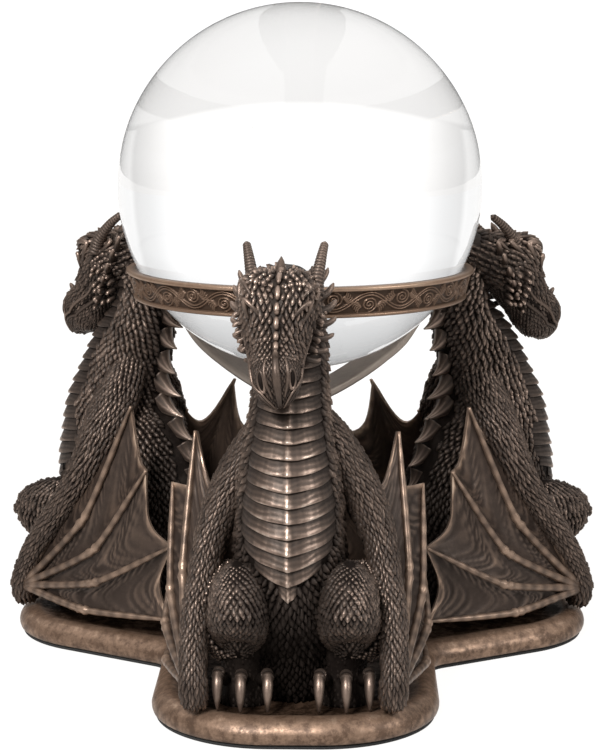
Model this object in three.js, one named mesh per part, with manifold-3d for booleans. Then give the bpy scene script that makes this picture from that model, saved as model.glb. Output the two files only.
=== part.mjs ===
// A glass ball held in a relief ring by three seated dragons on a three-lobed base.
// Millimetres, +Z up. The origin is the centre of the underside, on the three-fold axis.
// One dragon is described in its own frame, facing -Y, and turned to each of the three lobes.

import * as THREE from 'three';
import { LoftGeometry } from 'three/addons/geometries/LoftGeometry.js';
import { mergeVertices } from 'three/addons/utils/BufferGeometryUtils.js';
import Module from 'manifold-3d';

// ---- driving dimensions -------------------------------------------------------------------

const GAP = 0.3;                 // glue line kept between neighbouring pieces
const TURNS = { front: 0, left: -1, right: 1 };   // lobe positions, in thirds of a turn
const THIRD = 2 * Math.PI / 3;
const MERGE_DISTANCE = 1e-4;

const BALL_RADIUS = 55;
const BALL_CENTRE_Z = 144.5;

const FELT_THICKNESS = 1;
const FELT_INSET = 1.2;
const PLATE_BOTTOM = 1.2;
const PLATE_TOP = 8.2;
const SEAT_Z = PLATE_TOP + 0.2;
const LOBE_HALF_WIDTH = 40.9;
const LOBE_REACH = 96.1;
const LOBE_CORNER_RADIUS = 34;
const LOBE_FILLET_RADIUS = 7;
const RIM_ROUND_WIDTH = 5;
const RIM_ROUND_HEIGHT = 4.6;
const RIM_STRAIGHT_HEIGHT = 1;

const RING_BOTTOM = 111.2;
const RING_TOP = 120.3;
const RING_BOTTOM_RADIUS = 50.4;
const RING_TOP_RADIUS = 52.7;
const RING_LIP = 1.1;            // height of the plain lip above and below the band
const RING_LIP_SLOPE = 0.7;      // height over which the lip steps in to the band
const RING_LIP_DEPTH = 0.8;      // how far the band sits behind the lip
const RING_EDGE_ROUND = 0.1;
const RING_LIP_BULGE = 0.3;
const RING_SEAT_GAP = 0.6;
const RING_FACETS = 36;

const STRAP_WIDTH = 12;
const STRAP_THICKNESS = 2.6;
const STRAP_STEPS = 9;
// Underside of a strap from the middle out to the ring: distance from the axis, height.
const STRAP_UNDERSIDE = [
  [-2, 77.6],
  [6, 79.5],
  [19, 84.8],
  [32, 92.3],
  [39, 99.5],
  [46, RING_BOTTOM - GAP],
];

const WING_HALF_THICKNESS = 1.1;
const WING_ROOT_REACH = 0.07;    // where the skin starts along the ribs, past the wrist
const WING_STEPS = 4;
const SCALLOPS = [0.2, 0.14, 0.16, 0.14];   // how far each panel's free edge is hollowed
const BALL_FACETS = 36;
const OUTLINE_SEGMENTS = 5;      // per round corner of the base

const BRONZE = { color: 0x4a382e, roughness: 0.42, metalness: 0.75 };
const PLATE_BRONZE = { color: 0x5d4738, roughness: 0.5, metalness: 0.7 };
const GLASS = { color: 0xf4f7f8, roughness: 0.02, metalness: 0 };
const FELT = { color: 0x1d2a2c, roughness: 0.95, metalness: 0 };

// ---- solids -------------------------------------------------------------------------------

const wasm = await Module();
wasm.setup();

// A closed geometry as a solid with its faces pointing out.
function solid(geometry) {
  const bare = new THREE.BufferGeometry();
  bare.setAttribute('position', geometry.attributes.position);
  bare.setIndex(geometry.index);
  const merged = mergeVertices(bare, MERGE_DISTANCE);
  const at = merged.attributes.position;
  const index = Array.from(merged.index.array);
  const triangles = [];
  let volume = 0;
  const a = new THREE.Vector3();
  const b = new THREE.Vector3();
  const c = new THREE.Vector3();
  for (let i = 0; i < index.length; i += 3) {
    const [p, q, r] = index.slice(i, i + 3);
    if (p === q || q === r || r === p) continue;
    a.fromBufferAttribute(at, p);
    b.fromBufferAttribute(at, q);
    c.fromBufferAttribute(at, r);
    volume += a.dot(b.cross(c));
    triangles.push(p, q, r);
  }
  if (volume < 0) triangles.reverse();
  return new wasm.Manifold(new wasm.Mesh({
    numProp: 3,
    vertProperties: Float32Array.from(at.array),
    triVerts: Uint32Array.from(triangles),
  }));
}

function geometryOf(body) {
  const mesh = body.getMesh();
  const geometry = new THREE.BufferGeometry();
  geometry.setAttribute('position', new THREE.BufferAttribute(mesh.vertProperties, 3));
  geometry.setIndex(new THREE.BufferAttribute(mesh.triVerts, 1));
  geometry.computeVertexNormals();
  return geometry;
}

function joined(bodies) {
  return bodies.reduce((whole, body) => whole.add(body));
}

function cutBy(body, cutters) {
  return cutters.reduce((rest, cutter) => rest.subtract(cutter), body);
}

// A tapering limb: stations are [x, y, z, half width across X, half depth], in order.
function limb(stations, sides, grow = 0) {
  const centres = stations.map(([x, y, z]) => new THREE.Vector3(x, y, z));
  const last = centres.length - 1;
  const sections = stations.map(([, , , halfWidth, halfDepth], i) => {
    const along = centres[Math.min(i + 1, last)].clone().sub(centres[Math.max(i - 1, 0)]).normalize();
    const across = new THREE.Vector3(1, 0, 0).addScaledVector(along, -along.x).normalize();
    const deep = new THREE.Vector3().crossVectors(along, across);
    const centre = centres[i].clone();
    if (i === 0) centre.addScaledVector(along, -grow);
    if (i === last) centre.addScaledVector(along, grow);
    return Array.from({ length: sides }, (_, s) => {
      const angle = 2 * Math.PI * (s + 0.5) / sides;
      return centre.clone()
        .addScaledVector(across, (halfWidth + grow) * Math.cos(angle))
        .addScaledVector(deep, (halfDepth + grow) * Math.sin(angle));
    });
  });
  return solid(new LoftGeometry(sections, { capStart: true, capEnd: true }));
}

// A straight thorn from a root point to a tip point.
function thorn(root, tip, radius, sides = 4) {
  return limb([[...root, radius, radius], [...tip, THORN_TIP_RADIUS, THORN_TIP_RADIUS]], sides);
}

function block(low, high) {
  const size = high.map((value, i) => value - low[i]);
  const geometry = new THREE.BoxGeometry(...size);
  geometry.translate(...low.map((value, i) => value + size[i] / 2));
  return solid(geometry);
}

// ---- base, ring, cradle and ball ------------------------------------------------------------

// The three-lobed outline: straight sides, round corners and a small fillet between lobes.
function lobedOutline(inset = 0) {
  const halfWidth = LOBE_HALF_WIDTH - inset;
  const corner = LOBE_CORNER_RADIUS - inset;
  const reach = LOBE_REACH - inset;
  const fillet = LOBE_FILLET_RADIUS + inset;
  const cornerX = halfWidth - corner;
  const cornerY = -(reach - corner);
  const valley = halfWidth / Math.cos(Math.PI / 6) + fillet / Math.cos(Math.PI / 6);
  const shape = new THREE.Shape();
  for (let k = 0; k < 3; k += 1) {
    const turn = k * THIRD;
    const cos = Math.cos(turn);
    const sin = Math.sin(turn);
    const arc = (x, y, radius, from, to, clockwise) => shape.absarc(
      x * cos - y * sin, x * sin + y * cos, radius, from + turn, to + turn, clockwise);
    arc(-cornerX, cornerY, corner, Math.PI, 1.5 * Math.PI, false);
    arc(cornerX, cornerY, corner, 1.5 * Math.PI, 2 * Math.PI, false);
    arc(valley * Math.cos(-Math.PI / 6), valley * Math.sin(-Math.PI / 6), fillet,
      Math.PI, 2 * Math.PI / 3, true);
  }
  return shape;
}

function basePlate() {
  const geometry = new THREE.ExtrudeGeometry(lobedOutline(RIM_ROUND_WIDTH), {
    depth: RIM_STRAIGHT_HEIGHT,
    bevelSize: RIM_ROUND_WIDTH,
    bevelThickness: RIM_ROUND_HEIGHT,
    bevelSegments: 2,
    curveSegments: OUTLINE_SEGMENTS,
  });
  geometry.translate(0, 0, PLATE_TOP - RIM_ROUND_HEIGHT - RIM_STRAIGHT_HEIGHT);
  const reach = 2 * LOBE_REACH;
  const below = block([-reach, -reach, -reach], [reach, reach, PLATE_BOTTOM]);
  return solid(geometry).subtract(below);
}

function feltSheet() {
  return solid(new THREE.ExtrudeGeometry(lobedOutline(FELT_INSET), {
    depth: FELT_THICKNESS,
    bevelEnabled: false,
    curveSegments: OUTLINE_SEGMENTS,
  }));
}

function ballRadiusAt(z) {
  return Math.sqrt(BALL_RADIUS ** 2 - (BALL_CENTRE_Z - z) ** 2);
}

// The ring's section: a flared band with a lip above and below, its seat following the ball.
function ring(grow = 0) {
  const low = RING_BOTTOM - grow;
  const high = RING_TOP + grow;
  const middle = (low + high) / 2;
  const seat = (z) => ballRadiusAt(z) + RING_SEAT_GAP - grow;
  const lower = RING_BOTTOM_RADIUS + grow;
  const upper = RING_TOP_RADIUS + grow;
  const profile = [
    [seat(low), low],
    [lower, low],
    [lower + RING_LIP_BULGE, low + RING_LIP],
    [lower - RING_EDGE_ROUND, low + RING_LIP + RING_LIP_SLOPE],
    [upper - RING_EDGE_ROUND - RING_LIP_DEPTH, high - RING_LIP - RING_LIP_SLOPE],
    [upper - RING_EDGE_ROUND, high - RING_LIP],
    [upper, high],
    [seat(high), high],
    [seat(middle), middle],
    [seat(low), low],
  ];
  const outline = profile.map(([radius, z]) => new THREE.Vector2(radius, z));
  const geometry = new THREE.LatheGeometry(outline, RING_FACETS);
  geometry.rotateX(Math.PI / 2);
  return solid(geometry);
}

// One strap of the cradle: a band bent under the ball, from the ring down to the middle.
function strap() {
  const under = new THREE.SplineCurve(STRAP_UNDERSIDE.map(([out, z]) => new THREE.Vector2(out, z)));
  const lower = under.getPoints(STRAP_STEPS);
  const upper = lower.map((point, i) => {
    const tangent = under.getTangent(i / STRAP_STEPS);
    return new THREE.Vector2(point.x - tangent.y * STRAP_THICKNESS, point.y + tangent.x * STRAP_THICKNESS);
  });
  upper[STRAP_STEPS].y = RING_BOTTOM - GAP;
  const shape = new THREE.Shape([...lower, ...upper.reverse()]);
  const geometry = new THREE.ExtrudeGeometry(shape, { depth: STRAP_WIDTH, bevelEnabled: false });
  geometry.translate(0, 0, -STRAP_WIDTH / 2);
  geometry.rotateX(Math.PI / 2);
  geometry.rotateZ(-Math.PI / 2);
  return geometry;
}

function cradle() {
  return joined(Object.values(TURNS).map((turn) => solid(strap().rotateZ(turn * THIRD))));
}

function ball() {
  const geometry = new THREE.SphereGeometry(BALL_RADIUS, BALL_FACETS, BALL_FACETS / 2);
  geometry.rotateX(Math.PI / 2);
  geometry.translate(0, 0, BALL_CENTRE_Z);
  return solid(geometry);
}

// ---- one dragon, facing -Y ------------------------------------------------------------------

const TRUNK = [
  [0, -56, 2, 15, 16],
  [0, -58, 14, 18, 20],
  [-0.5, -61, 26, 17.5, 23.5],
  [-1, -64, 38, 16.5, 25.5],
  [-1.5, -66.5, 50, 15.6, 25],
  [-1.5, -68, 60, 14.8, 22.8],
  [-1.5, -69, 70, 13.6, 19],
  [-1.5, -67.3, 80, 11.2, 15.4],
  [-1.3, -64, 90, 10, 13.3],
  [-1, -60.3, 98, 9.3, 11],
  [-1, -58, 105, 8.8, 8.8],
  [-1, -57.6, 112, 8.3, 8.2],
  [-1.2, -59, 118.5, 7, 6.5],
];

const SPINES = 10;               // thorns down the back
const SPINE_HEIGHT = 5.2;
const SPINE_RADIUS = 2.8;
const SPINE_ROOT_DEPTH = 2;
const SPINE_HOOK = 1;            // how far a tip leans along the back
const BACK_FROM = 3;             // trunk stations the thorns run between
const BACK_TO = 10;
const THORN_TIP_RADIUS = 0.3;

const SKULL = [
  [-2, -57.5, 125, 6, 5],
  [-3, -64, 121, 9.4, 10],
  [-3.8, -71.2, 117.3, 10.5, 11.6],
  [-4.4, -76.6, 111.8, 9, 10.8],
  [-4.6, -80.4, 106.2, 7.2, 9],
  [-4.6, -83.6, 101, 6.3, 7.4],
  [-4.1, -85.6, 97, 5.4, 5.6],
  [-3.6, -86.6, 94, 3.2, 3.2],
];
const SKULL_MIDDLE_X = -2.5;

// Limb tables below are for the dragon's own left (+X); the right side mirrors them.
const HORN = [
  [7.2, -73, 119.5, 3, 3],
  [8.4, -70.6, 125.6, 2.2, 2.2],
  [9.7, -65.8, 130.6, 1.6, 1.6],
  [10.9, -60.2, 134.4, 0.6, 0.6],
];

const CHEEK_SPIKE_RADIUS = 2.2;
const CHEEK_SPIKES = [
  [[7, -66, 119], [15, -57.5, 122]],
  [[7, -67, 114.5], [16, -60, 114.5]],
  [[6.5, -69, 109.5], [14, -62.5, 107.5]],
];

const LEG = [
  [19, -47, 20, 4.5, 6],
  [19.5, -56, 26, 7.5, 12],
  [18.5, -68, 31, 9, 14.5],
  [16.5, -79, 34.5, 9.6, 13.5],
  [14.8, -88, 36, 9.2, 11.5],
  [14.3, -94.5, 36.2, 7.6, 9],
  [14.2, -98.6, 36, 4, 4.8],
];

const SHIN = [
  [14.3, -84, 32, 7.4, 8.5],
  [14, -82, 20, 7.4, 8],
  [14, -80, 12, 8.4, 8],
  [14, -79, 5, 8.4, 8],
];

const TOE_TIPS = [[7, -89.2], [14.4, -89.8], [20.8, -87.6]];
const TOE_ROOT_X = 14;
const TOE_ROOT_Y = -76;
const TOE_SPREAD = 4.5;          // between the toes' roots

const ARM = [
  [9, -59.5, 79, 4.6, 6.4],
  [15.8, -61.4, 71, 6.2, 7.6],
  [20.8, -63.6, 60.5, 5.2, 6.2],
  [24.1, -67, 51.3, 4.3, 4.8],
  [26, -72.2, 42.6, 3.8, 4],
  [27, -77.6, 34.8, 3.6, 3.7],
  [27.5, -82.6, 26.8, 3.4, 3.3],
  [27.5, -86.8, 18, 3.4, 3.3],
  [27.3, -88.2, 13, 4, 3.6],
  [26.6, -87, 6, 3.4, 3.4],
];

// Wing ribs fan back from the wrist: wrist, knuckle, tip. The first runs up behind the arm.
const WRIST = [28, -86.5, 15];
const RIBS = [
  [WRIST, [24.5, -68, 46], [17, -54, 68]],
  [WRIST, [31.2, -59.3, 40.8], [28.5, -42.7, 77.5]],
  [WRIST, [35.3, -52.6, 32.5], [36, -32, 60]],
  [WRIST, [37, -51.5, 22.5], [35.6, -23.4, 37.3]],
  [WRIST, [36.4, -56.3, 13.1], [35.2, -24.2, 14.2]],
];

const mirrored = ([x, ...rest], side) => [side * x, ...rest];
const sided = (table, side) => table.map((row) => mirrored(row, side));

function trunk(grow = 0) {
  const core = limb(TRUNK, 12, grow);
  if (grow > 0) return core;
  const back = new THREE.CatmullRomCurve3(
    TRUNK.slice(BACK_FROM, BACK_TO).map(([x, y, z, , depth]) => new THREE.Vector3(x, y + depth, z)));
  const spines = Array.from({ length: SPINES }, (_, i) => {
    const t = (i + 0.5) / SPINES;
    const root = back.getPoint(t);
    const along = back.getTangent(t);
    const out = new THREE.Vector3(0, along.z, -along.y);
    const tip = root.clone().addScaledVector(out, SPINE_HEIGHT).addScaledVector(along, SPINE_HOOK);
    root.addScaledVector(out, -SPINE_ROOT_DEPTH);
    return thorn(root.toArray(), tip.toArray(), SPINE_RADIUS);
  });
  return joined([core, ...spines]);
}

function head() {
  const skull = limb(SKULL, 10);
  const spikes = [1, -1].flatMap((side) => {
    const place = ([x, y, z]) => [SKULL_MIDDLE_X + side * x, y, z];
    const horn = HORN.map(([x, y, z, ...radii]) => [...place([x, y, z]), ...radii]);
    const cheek = CHEEK_SPIKES.map(([root, tip]) => thorn(place(root), place(tip), CHEEK_SPIKE_RADIUS));
    return [limb(horn, 6), ...cheek];
  });
  return joined([skull, ...spikes]);
}

function leg(side, grow = 0) {
  return limb(sided(LEG, side), 10, grow);
}

function foot(side) {
  const toes = TOE_TIPS.map(([x, y], i) => {
    const rootX = TOE_ROOT_X + (i - 1) * TOE_SPREAD;
    return limb(sided([
      [rootX, TOE_ROOT_Y, 15, 3.6, 4],
      [(rootX + x) / 2, (TOE_ROOT_Y + y) / 2 - 1, 18, 3.4, 3.6],
      [x, y + 3, 16.6, 2.7, 2.9],
      [x, y + 0.8, 12.5, 1.7, 1.8],
      [x, y, SEAT_Z + 0.4, 0.6, 0.6],
    ], side), 6);
  });
  return joined([limb(sided(SHIN, side), 8), ...toes]);
}

function arm(side, grow = 0) {
  return limb(sided(ARM, side), 8, grow);
}

// The wing skin: a curved plate over the fan of ribs, its free edge scalloped between tips.
function wing(side) {
  const ribs = RIBS.map((rib) => new THREE.CatmullRomCurve3(
    rib.map(([x, y, z]) => new THREE.Vector3(side * x, y, z))));
  const panels = ribs.length - 1;
  const geometry = new THREE.BoxGeometry(1, 1, 1, panels * 2, WING_STEPS, 1);
  const at = geometry.attributes.position;
  for (let i = 0; i < at.count; i += 1) {
    const across = (at.getX(i) + 0.5) * panels;
    const panel = Math.min(Math.floor(across + 1e-6), panels - 1);
    const share = across - panel;
    const outward = WING_ROOT_REACH + (1 - WING_ROOT_REACH) * (at.getY(i) + 0.5);
    const reach = outward * (1 - SCALLOPS[panel] * Math.sin(Math.PI * share));
    const point = ribs[panel].getPoint(reach).lerp(ribs[panel + 1].getPoint(reach), share);
    const offset = 2 * at.getZ(i) * WING_HALF_THICKNESS;
    at.setXYZ(i, point.x + offset, point.y, point.z);
  }
  return solid(geometry);
}

// Every piece of one dragon, each cut back to a glue line from the pieces it meets.
function dragon() {
  const below = block([-60, -120, -20], [60, 0, SEAT_Z]);
  const grownRing = ring(GAP);
  const grownTrunk = trunk(GAP);
  const body = cutBy(trunk(), [below, grownRing]);
  const pieces = { body, head: cutBy(head(), [grownTrunk, grownRing]) };
  for (const [name, side] of [['left', 1], ['right', -1]]) {
    const grownLeg = leg(side, GAP);
    const grownArm = arm(side, GAP);
    pieces[`leg_${name}`] = cutBy(leg(side), [grownTrunk, below]);
    pieces[`foot_${name}`] = cutBy(foot(side), [grownLeg, grownTrunk, grownArm, below]);
    pieces[`arm_${name}`] = cutBy(arm(side), [grownTrunk, grownLeg, below]);
    pieces[`wing_${name}`] = cutBy(wing(side), [grownTrunk, grownLeg, grownArm, below]);
  }
  return pieces;
}

// ---- assembly -------------------------------------------------------------------------------

const group = new THREE.Group();

function addPiece(parent, name, body, look) {
  const mesh = new THREE.Mesh(geometryOf(body), new THREE.MeshStandardMaterial(look));
  mesh.name = name;
  parent.add(mesh);
}

addPiece(group, 'felt_sheet', feltSheet(), FELT);
addPiece(group, 'base_plate', basePlate(), PLATE_BRONZE);
addPiece(group, 'ring', ring(), BRONZE);
addPiece(group, 'cradle', cradle(), BRONZE);
addPiece(group, 'crystal_ball', ball(), GLASS);

const dragonPieces = dragon();
for (const [place, turn] of Object.entries(TURNS)) {
  const turned = new THREE.Group();
  turned.rotation.z = turn * THIRD;
  for (const [name, body] of Object.entries(dragonPieces)) {
    addPiece(turned, `${place}_${name}`, body, BRONZE);
  }
  group.add(turned);
}

export default group;
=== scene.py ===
"""The looks of the dragon-borne crystal ball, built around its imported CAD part. Metres, +Z up.

Shapes are described in millimetres for one dragon that faces -Y, then turned to the three lobes.
"""

import math

import bpy
import numpy as np
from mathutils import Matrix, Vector


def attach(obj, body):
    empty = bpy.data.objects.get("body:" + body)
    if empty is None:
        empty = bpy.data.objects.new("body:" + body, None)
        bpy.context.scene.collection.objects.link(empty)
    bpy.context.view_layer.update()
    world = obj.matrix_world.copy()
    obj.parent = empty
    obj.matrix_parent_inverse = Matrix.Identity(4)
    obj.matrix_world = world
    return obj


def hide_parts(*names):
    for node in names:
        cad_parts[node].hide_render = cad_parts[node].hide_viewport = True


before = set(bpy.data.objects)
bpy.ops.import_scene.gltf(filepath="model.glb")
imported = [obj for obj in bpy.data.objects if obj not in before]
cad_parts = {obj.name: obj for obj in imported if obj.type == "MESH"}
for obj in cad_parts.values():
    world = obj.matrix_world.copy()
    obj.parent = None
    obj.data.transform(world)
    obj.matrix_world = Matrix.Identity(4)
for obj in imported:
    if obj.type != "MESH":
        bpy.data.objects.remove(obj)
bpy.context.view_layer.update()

MM = 0.001
TURNS = {"front": 0.0, "left": -2 * math.pi / 3, "right": 2 * math.pi / 3}
rng = np.random.default_rng(11)

# ---- numbers shared with the part -----------------------------------------------------------

BALL_RADIUS = 55.0
BALL_CENTRE_Z = 144.5
LOBE_HALF_WIDTH = 40.9
LOBE_REACH = 96.1
LOBE_CORNER_RADIUS = 34.0
LOBE_FILLET_RADIUS = 7.0
RING_BOTTOM = 111.2
RING_TOP = 120.3
STRAP_WIDTH = 12.0
STRAP_THICKNESS = 2.6

# x, y, z, half width across X, half depth
TRUNK = [
    (0, -56.4, 5, 15.5, 16.8),
    (0, -58, 14, 18, 20),
    (-0.5, -61, 26, 17, 21.5),
    (-1, -64, 38, 15.5, 25.5),
    (-1.5, -66.5, 50, 14.6, 25),
    (-1.5, -68, 60, 14.2, 22.8),
    (-1.5, -69, 70, 13.2, 19),
    (-1.5, -67.3, 80, 11.2, 15.4),
    (-1.3, -64, 90, 10, 13.3),
    (-1, -60.3, 98, 9.3, 11),
    (-1, -58, 105, 8.8, 8.8),
    (-1, -57.6, 112, 8.3, 8.2),
    (-1.2, -59, 118.5, 7, 6.5),
]
SKULL = [
    (-2.0, -57.5, 124, 6, 4.5),
    (-3.2, -64, 120.5, 9.2, 7.3),
    (-4.2, -71.2, 117, 10.4, 9.2),
    (-4.6, -76.2, 111.5, 9.0, 9.0),
    (-4.7, -79.8, 106, 7.2, 7.6),
    (-4.6, -83.4, 100.6, 6.3, 7.2),
    (-4.1, -85.3, 96.4, 5.4, 5.6),
    (-3.7, -86.0, 94.2, 4.0, 3.9),
    (-3.4, -86.1, 92.6, 1.6, 1.6),
]
SKULL_MIDDLE_X = -2.5
HORN = [
    (8.2, -73.0, 121.0, 2.3, 2.3),
    (8.7, -70.6, 125.6, 1.75, 1.75),
    (9.7, -65.8, 130.4, 1.35, 1.35),
    (10.7, -60.2, 134.2, 0.95, 0.95),
]
KNEE = [
    (15.4, -84, 23.6, 1.2, 2.0),
    (15.2, -82.6, 25.0, 4.9, 8.5),
    (14.9, -81.4, 28.2, 7.7, 14.4),
    (14.7, -80.4, 33, 8.7, 17.9),
    (14.7, -80, 37, 8.6, 18.8),
    (14.8, -80, 41, 7.9, 17.2),
    (15.0, -80, 44.5, 6.2, 13.2),
    (15.3, -80, 47, 3.7, 7.6),
    (15.4, -80, 48, 1.2, 2.4),
]
THIGH = [
    (12, -50, 24, 4.5, 6),
    (19.0, -56, 27, 7.5, 11),
    (18.5, -68, 31, 9, 14.0),
    (16.5, -79, 34, 8.4, 12),
]
SHIN = [
    (14.3, -78, 30, 6.2, 6),
    (14, -76, 20, 6.0, 5.6),
    (14, -75, 12, 7.0, 6.4),
    (14, -75, 7.5, 7.6, 6.8),
]
TOE_TIPS = [(7, -89.2), (14.4, -89.8), (20.8, -87.6)]
ARM = [
    (3, -60, 88, 3.6, 4.5),
    (7.5, -60, 82, 5.0, 6.0),
    (12.2, -60.8, 75, 5.6, 7.0),
    (17.0, -62, 67, 5.6, 6.6),
    (20.8, -64, 59, 5.0, 5.6),
    (23.6, -67, 51, 4.3, 4.6),
    (25.4, -72.2, 42.6, 3.8, 4),
    (26.8, -77.6, 34.8, 3.6, 3.7),
    (27.5, -82.6, 26.8, 3.4, 3.3),
    (27.5, -86.6, 18.6, 3.4, 3.3),
    (27.3, -87.6, 13.8, 3.6, 3.3),
    (26.8, -86.8, 10.4, 3.0, 2.6),
    (26.6, -86.4, 8.8, 1.0, 1.0),
]
WRIST = (28, -86.5, 15)
RIBS = [
    (WRIST, (24.5, -68, 46), (17, -54, 68)),
    (WRIST, (31.2, -59.3, 40.8), (28.5, -42.7, 77.5)),
    (WRIST, (35.3, -52.6, 32.5), (36, -32, 60)),
    (WRIST, (37, -51.5, 22.5), (35.6, -23.4, 37.3)),
    (WRIST, (36.4, -56.3, 13.1), (35.2, -24.2, 14.2)),
]
SCALLOPS = (0.15, 0.09, 0.11, 0.09)
BILLOWS = (1.2, 3.6, 2.2, 1.8)


# ---- geometry helpers -----------------------------------------------------------------------


def unit(vectors):
    return vectors / np.maximum(np.linalg.norm(vectors, axis=-1, keepdims=True), 1e-9)


def spline(rows, t):
    """Points of the Catmull-Rom curve through the rows, at parameters from 0 to len(rows) - 1."""
    rows = np.asarray(rows, float)
    padded = np.vstack([2 * rows[0] - rows[1], rows, 2 * rows[-1] - rows[-2]])
    t = np.clip(np.asarray(t, float), 0, len(rows) - 1 - 1e-6)
    i = np.floor(t).astype(int)
    f = (t - i)[..., None]
    a, b, c, d = (padded[i + k] for k in range(4))
    return 0.5 * (2 * b + (c - a) * f + (2 * a - 5 * b + 4 * c - d) * f**2 + (3 * b - a - 3 * c + d) * f**3)


def bell(x, middle, width):
    """A smooth hump that is 1 at middle and fades over width."""
    return np.exp(-(((x - middle) / width) ** 2))


def dome(x):
    """Half a circle over -1 to 1."""
    return np.sqrt(np.clip(1 - x**2, 0, 1))


def turned_by(angle):
    """Matrix that turns rows of points about Z."""
    c, s = math.cos(angle), math.sin(angle)
    return np.array([[c, s, 0], [-s, c, 0], [0, 0, 1.0]])


def around_and_along(u, sides):
    """Grids of u and of angle for a closed skin with that many sides."""
    return np.meshgrid(u, np.arange(sides) * 2 * math.pi / sides, indexing="ij")


def away_from(middle, theta):
    """Angle of theta away from middle, -pi to pi."""
    return (theta - middle + math.pi) % (2 * math.pi) - math.pi


def wave_noise(points, scale, seed):
    """A smooth value from about -1 to 1 over space, made of a few crossed waves."""
    source = np.random.default_rng(seed)
    total = np.zeros(points.shape[:-1])
    for octave in range(3):
        for _ in range(4):
            direction = unit(source.normal(size=3))
            phase = source.uniform(0, 2 * math.pi)
            frequency = 2 * math.pi / scale * 1.9**octave * source.uniform(0.7, 1.3)
            total += np.sin(points @ direction * frequency + phase) * 0.55**octave
    return total / 4


class Shape:
    """Collects points, faces and a relief value (0 in a recess, 1 on a ridge, with painted shade and painted
    highlights mixed in on some pieces) for one piece.
    """

    def __init__(self):
        self.points, self.relief, self.quads, self.triangles = [], [], [], []
        self.count = 0

    def add(self, points, relief, quads, triangles):
        points = points.reshape(-1, 3)
        self.points.append(points)
        self.relief.append(relief.ravel())
        self.quads.append(quads.reshape(-1, 4) + self.count)
        self.triangles.append(triangles.reshape(-1, 3) + self.count)
        self.count += len(points)

    def grid(self, points, relief, closed=False, caps=False, flip=False):
        """A sheet of rows and columns; closed joins the last column to the first, caps fill both ends."""
        rows, columns = points.shape[:2]
        index = np.arange(rows * columns).reshape(rows, columns)
        left = index if closed else index[:, :-1]
        right = np.roll(index, -1, 1) if closed else index[:, 1:]
        quads = np.stack([left[:-1], right[:-1], right[1:], left[1:]], -1).reshape(-1, 4)
        relief = np.broadcast_to(relief, (rows, columns)).ravel()
        flat = points.reshape(-1, 3)
        triangles = np.zeros((0, 3), int)
        if caps:
            ends = np.stack([points[0].mean(0), points[-1].mean(0)])
            first = np.stack([right[0], left[0], np.full(len(left[0]), len(flat))], -1)
            last = np.stack([left[-1], right[-1], np.full(len(left[-1]), len(flat) + 1)], -1)
            triangles = np.vstack([first, last])
            flat = np.vstack([flat, ends])
            relief = np.concatenate([relief, relief[[0, -1]]])
        if flip:
            quads, triangles = quads[:, ::-1], triangles[:, ::-1]
        self.add(flat, relief, quads, triangles)

    def mirrored(self):
        other = Shape()
        other.points = [p * np.array([-1.0, 1, 1]) for p in self.points]
        other.relief = self.relief
        other.quads = [q[:, ::-1] for q in self.quads]
        other.triangles = [t[:, ::-1] for t in self.triangles]
        other.count = self.count
        return other

    def build(self, name, material, turn=0.0):
        points = np.concatenate(self.points) * MM @ turned_by(turn)
        quads = np.concatenate(self.quads)
        triangles = np.concatenate(self.triangles)
        corners = np.concatenate([quads.ravel(), triangles.ravel()]).astype(np.int32)
        sizes = np.concatenate([np.full(len(quads), 4), np.full(len(triangles), 3)]).astype(np.int32)
        starts = np.concatenate([[0], np.cumsum(sizes)[:-1]]).astype(np.int32)
        mesh = bpy.data.meshes.new(name)
        mesh.vertices.add(len(points))
        mesh.vertices.foreach_set("co", points.astype(np.float32).ravel())
        mesh.loops.add(len(corners))
        mesh.loops.foreach_set("vertex_index", corners)
        mesh.polygons.add(len(sizes))
        mesh.polygons.foreach_set("loop_start", starts)
        mesh.polygons.foreach_set("loop_total", sizes)
        mesh.update(calc_edges=True)
        mesh.validate()
        relief = mesh.attributes.new("relief", "FLOAT", "POINT")
        relief.data.foreach_set("value", np.concatenate(self.relief).astype(np.float32))
        mesh.polygons.foreach_set("use_smooth", np.ones(len(mesh.polygons), bool))
        mesh.materials.append(material)
        piece = bpy.data.objects.new(name, mesh)
        bpy.context.collection.objects.link(piece)
        return piece


LIMB_SAMPLES = 160
STEP_U, STEP_THETA = 0.008, 0.03   # spacing of the neighbours that a skin's normal is measured from


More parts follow.
